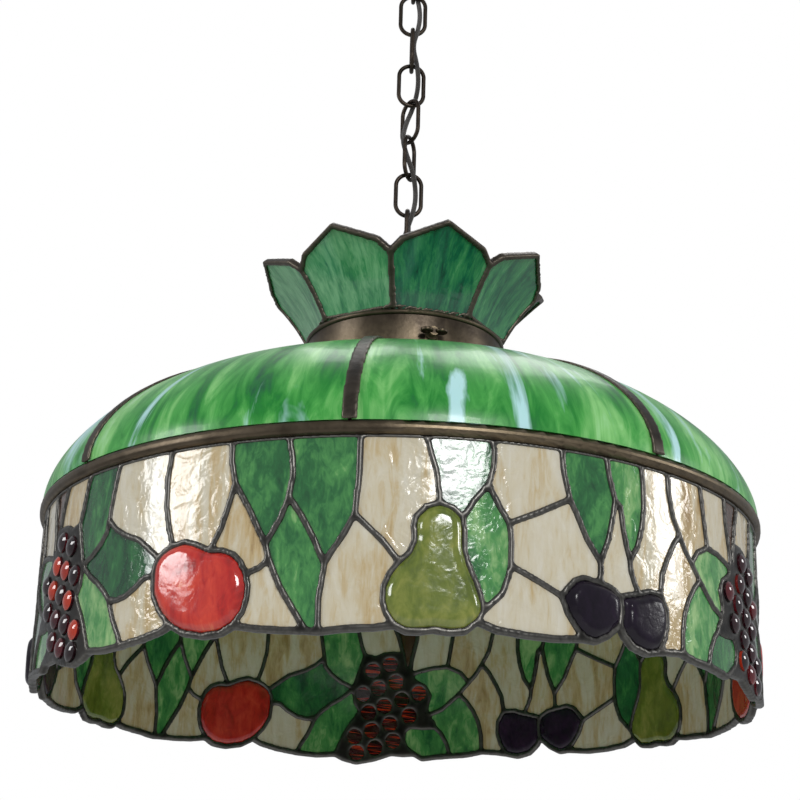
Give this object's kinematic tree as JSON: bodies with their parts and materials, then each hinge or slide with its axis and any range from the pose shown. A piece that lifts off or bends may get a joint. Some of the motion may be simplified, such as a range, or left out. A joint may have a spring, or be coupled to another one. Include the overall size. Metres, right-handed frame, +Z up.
{
  "type": "pool table lamp",
  "caption": "Leaded-glass hanging lamp: wide fruit-patterned skirt under a green panelled dome and flared crown, on an oval-link chain with a cord.",
  "frame": {"origin": "on the ceiling plane, midway between the strap's two fixing screws, on the lamp's axis", "axes": "+Z up, away from the lamp; +X along the mounting strap; -Y is the side seen in front"},
  "size_m": [0.621, 0.621, 0.8044],
  "materials": {
    "aged_bronze": "antique patina",
    "dark_chain": "dark oiled bronze",
    "lead_came": "dark solder and lead",
    "cream_glass": "rippled opalescent cream",
    "leaf_glass": "streaky green",
    "dome_glass": "streaky bright green",
    "crown_glass": "streaky deep green",
    "apple_glass": "streaky red and orange",
    "pear_glass": "olive",
    "plum_glass": "very dark purple",
    "grape_glass": "garnet",
    "stalk_glass": "brown",
    "cord_braid": "woven",
    "socket_brass": "satin",
    "socket_insulation": "moulded",
    "bulb_glass": "frosted white",
    "bulb_metal": "satin",
    "plated_steel": "zinc plated"
  },
  "bodies": {
    "ceiling_fitting": {"mounting_strap": "plated_steel", "canopy": "aged_bronze", "canopy_nipple": "plated_steel", "canopy_lock_nut": "plated_steel", "canopy_loop": "aged_bronze", "power_cord": "cord_braid"},
    "canopy_collar": {"canopy_collar": "aged_bronze"},
    "link_1": {"chain_link_1": "dark_chain"},
    "link_2": {"chain_link_2": "dark_chain"},
    "link_3": {"chain_link_3": "dark_chain"},
    "link_4": {"chain_link_4": "dark_chain"},
    "link_5": {"chain_link_5": "dark_chain"},
    "link_6": {"chain_link_6": "dark_chain"},
    "link_7": {"chain_link_7": "dark_chain"},
    "link_8": {"chain_link_8": "dark_chain"},
    "link_9": {"chain_link_9": "dark_chain"},
    "shade": {"top_loop": "aged_bronze", "pipe": "plated_steel", "lock_nuts": "plated_steel", "spider": "plated_steel", "collar": "aged_bronze", "crown_glass": "crown_glass", "crown_came": "lead_came", "dome_neck": "aged_bronze", "dome_glass": "dome_glass", "dome_ribs": "lead_came", "band": "aged_bronze", "skirt_came": "lead_came", "cream_glass": "cream_glass", "leaf_glass": "leaf_glass", "stalk_glass": "stalk_glass", "apples": "apple_glass", "pears": "pear_glass", "plums": "plum_glass", "grapes": "grape_glass", "socket_hub": "aged_bronze", "socket_hub_lid": "aged_bronze", "socket_arms": "socket_brass", "socket_leads": "socket_insulation", "socket_caps": "socket_brass", "socket_shells": "socket_brass", "socket_bodies": "socket_insulation"},
    "thumb_screw_1": {"thumb_screw_1": "aged_bronze"},
    "socket_key_1": {"socket_key_1": "socket_brass"},
    "bulb_1": {"bulb_globe_1": "bulb_glass", "bulb_base_1": "bulb_metal"},
    "thumb_screw_2": {"thumb_screw_2": "aged_bronze"},
    "socket_key_2": {"socket_key_2": "socket_brass"},
    "bulb_2": {"bulb_globe_2": "bulb_glass", "bulb_base_2": "bulb_metal"},
    "thumb_screw_3": {"thumb_screw_3": "aged_bronze"},
    "socket_key_3": {"socket_key_3": "socket_brass"},
    "bulb_3": {"bulb_globe_3": "bulb_glass", "bulb_base_3": "bulb_metal"}
  },
  "joints": [
    {"name": "link_1_swing", "type": "hinge", "parent": "ceiling_fitting", "child": "link_1", "pos_m": [0, 0, -0.0606], "axis": [-0.9994, -0.0349, 0], "range_deg": [-25, 25], "deforming": ["power_cord"]},
    {"name": "link_2_swing", "type": "hinge", "parent": "link_1", "child": "link_2", "pos_m": [0, 0, -0.0994], "axis": [-0.0349, 0.9994, 0], "range_deg": [-25, 25]},
    {"name": "link_3_swing", "type": "hinge", "parent": "link_2", "child": "link_3", "pos_m": [0, 0, -0.1387], "axis": [0.9994, 0.0349, 0], "range_deg": [-25, 25]},
    {"name": "link_4_swing", "type": "hinge", "parent": "link_3", "child": "link_4", "pos_m": [0, 0, -0.178], "axis": [-0.0349, 0.9994, 0], "range_deg": [-25, 25]},
    {"name": "link_5_swing", "type": "hinge", "parent": "link_4", "child": "link_5", "pos_m": [0, 0, -0.2173], "axis": [0.9903, 0.1392, 0], "range_deg": [-25, 25]},
    {"name": "link_6_swing", "type": "hinge", "parent": "link_5", "child": "link_6", "pos_m": [0, 0, -0.2566], "axis": [0.6157, -0.788, 0], "range_deg": [-25, 25]},
    {"name": "link_7_swing", "type": "hinge", "parent": "link_6", "child": "link_7", "pos_m": [0, 0, -0.2959], "axis": [0.3746, 0.9272, 0], "range_deg": [-25, 25]},
    {"name": "link_8_swing", "type": "hinge", "parent": "link_7", "child": "link_8", "pos_m": [0, 0, -0.3352], "axis": [0.9962, 0.0872, 0], "range_deg": [-25, 25]},
    {"name": "link_9_swing", "type": "hinge", "parent": "link_8", "child": "link_9", "pos_m": [0, 0, -0.3745], "axis": [0.0872, 0.9962, 0], "range_deg": [-25, 25]},
    {"name": "shade_swing", "type": "hinge", "parent": "link_9", "child": "shade", "pos_m": [0, 0, -0.4138], "axis": [0.9962, -0.0872, 0], "range_deg": [-20, 20]},
    {"name": "canopy_collar_turn", "type": "hinge", "parent": "ceiling_fitting", "child": "canopy_collar", "pos_m": [0, 0, -0.0318], "axis": [0, 0, 1], "continuous": true},
    {"name": "thumb_screw_1_turn", "type": "hinge", "parent": "shade", "child": "thumb_screw_1", "pos_m": [0.02288, -0.08539, -0.489], "axis": [0.2588, -0.9659, 0], "continuous": true},
    {"name": "socket_key_1_turn", "type": "hinge", "parent": "shade", "child": "socket_key_1", "pos_m": [0.06717, -0.06717, -0.563], "axis": [0.7071, -0.7071, 0], "continuous": true},
    {"name": "bulb_1_unscrew", "type": "hinge", "parent": "shade", "child": "bulb_1", "pos_m": [0.05303, -0.05303, -0.595], "axis": [0, 0, 1], "continuous": true},
    {"name": "thumb_screw_2_turn", "type": "hinge", "parent": "shade", "child": "thumb_screw_2", "pos_m": [0.06251, 0.06251, -0.489], "axis": [0.7071, 0.7071, 0], "continuous": true},
    {"name": "socket_key_2_turn", "type": "hinge", "parent": "shade", "child": "socket_key_2", "pos_m": [0.02459, 0.09176, -0.563], "axis": [0.2588, 0.9659, 0], "continuous": true},
    {"name": "bulb_2_unscrew", "type": "hinge", "parent": "shade", "child": "bulb_2", "pos_m": [0.01941, 0.07244, -0.595], "axis": [0, 0, 1], "continuous": true},
    {"name": "thumb_screw_3_turn", "type": "hinge", "parent": "shade", "child": "thumb_screw_3", "pos_m": [-0.08539, 0.02288, -0.489], "axis": [-0.9659, 0.2588, 0], "continuous": true},
    {"name": "socket_key_3_turn", "type": "hinge", "parent": "shade", "child": "socket_key_3", "pos_m": [-0.09176, -0.02459, -0.563], "axis": [-0.9659, -0.2588, 0], "continuous": true},
    {"name": "bulb_3_unscrew", "type": "hinge", "parent": "shade", "child": "bulb_3", "pos_m": [-0.07244, -0.01941, -0.595], "axis": [0, 0, 1], "continuous": true}
  ]
}
